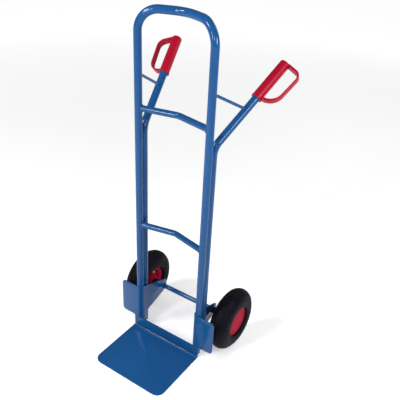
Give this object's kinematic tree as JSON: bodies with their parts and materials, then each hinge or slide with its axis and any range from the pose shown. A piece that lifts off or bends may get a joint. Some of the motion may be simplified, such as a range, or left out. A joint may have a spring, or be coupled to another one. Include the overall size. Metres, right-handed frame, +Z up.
{
  "type": "hand truck",
  "caption": "Two-wheeled hand truck: bent round-tube frame, folded toe plate, swept-back handles with guarded grips, pneumatic tyres.",
  "frame": {"origin": "on the floor, under the middle of the truck's bounding box", "axes": "+Z up; +Y from the load face back towards the handles; +X to the right as seen from the toe plate's side"},
  "size_m": [0.571, 0.5951, 1.3],
  "materials": {
    "blue_enamel": "glossy powder coat",
    "grip_plastic": "satin moulded",
    "rim_plastic": "satin moulded",
    "tyre_rubber": "matt",
    "tube_rubber": "matt",
    "zinc_steel": "bright zinc plate",
    "bearing_steel": "ground"
  },
  "bodies": {
    "frame": {"axle": "blue_enamel", "axle_spacer_left": "zinc_steel", "axle_spacer_right": "zinc_steel", "brace_rod_left": "blue_enamel", "brace_rod_right": "blue_enamel", "crossbar_lower": "blue_enamel", "crossbar_upper": "blue_enamel", "grip_left": "grip_plastic", "grip_right": "grip_plastic", "handle_tube_left": "blue_enamel", "handle_tube_right": "blue_enamel", "inner_washer_left": "zinc_steel", "inner_washer_right": "zinc_steel", "outer_washer_left": "zinc_steel", "outer_washer_right": "zinc_steel", "retaining_ring_left": "zinc_steel", "retaining_ring_right": "zinc_steel", "toe_plate": "blue_enamel", "upright_frame": "blue_enamel", "wheel_bracket_left": "blue_enamel", "wheel_bracket_right": "blue_enamel"},
    "wheel_left": {"hub_cap_left": "rim_plastic", "hub_sleeve_left": "zinc_steel", "inner_tube_left": "tube_rubber", "rim_bolt_left_1": "zinc_steel", "rim_bolt_left_2": "zinc_steel", "rim_bolt_left_3": "zinc_steel", "rim_bolt_left_4": "zinc_steel", "rim_inner_left": "rim_plastic", "rim_nut_left_1": "zinc_steel", "rim_nut_left_2": "zinc_steel", "rim_nut_left_3": "zinc_steel", "rim_nut_left_4": "zinc_steel", "rim_outer_left": "rim_plastic", "roller_bearing_inboard_left": "bearing_steel", "roller_bearing_outboard_left": "bearing_steel", "tyre_left": "tyre_rubber", "valve_stem_left": "tube_rubber"},
    "wheel_right": {"hub_cap_right": "rim_plastic", "hub_sleeve_right": "zinc_steel", "inner_tube_right": "tube_rubber", "rim_bolt_right_1": "zinc_steel", "rim_bolt_right_2": "zinc_steel", "rim_bolt_right_3": "zinc_steel", "rim_bolt_right_4": "zinc_steel", "rim_inner_right": "rim_plastic", "rim_nut_right_1": "zinc_steel", "rim_nut_right_2": "zinc_steel", "rim_nut_right_3": "zinc_steel", "rim_nut_right_4": "zinc_steel", "rim_outer_right": "rim_plastic", "roller_bearing_inboard_right": "bearing_steel", "roller_bearing_outboard_right": "bearing_steel", "tyre_right": "tyre_rubber", "valve_stem_right": "tube_rubber"}
  },
  "joints": [
    {"name": "wheel_left_spin", "type": "hinge", "parent": "frame", "child": "wheel_left", "pos_m": [-0.2112, 0.10372, 0.128], "axis": [1, 0, 0], "continuous": true},
    {"name": "wheel_right_spin", "type": "hinge", "parent": "frame", "child": "wheel_right", "pos_m": [0.2112, 0.10372, 0.128], "axis": [1, 0, 0], "continuous": true}
  ]
}
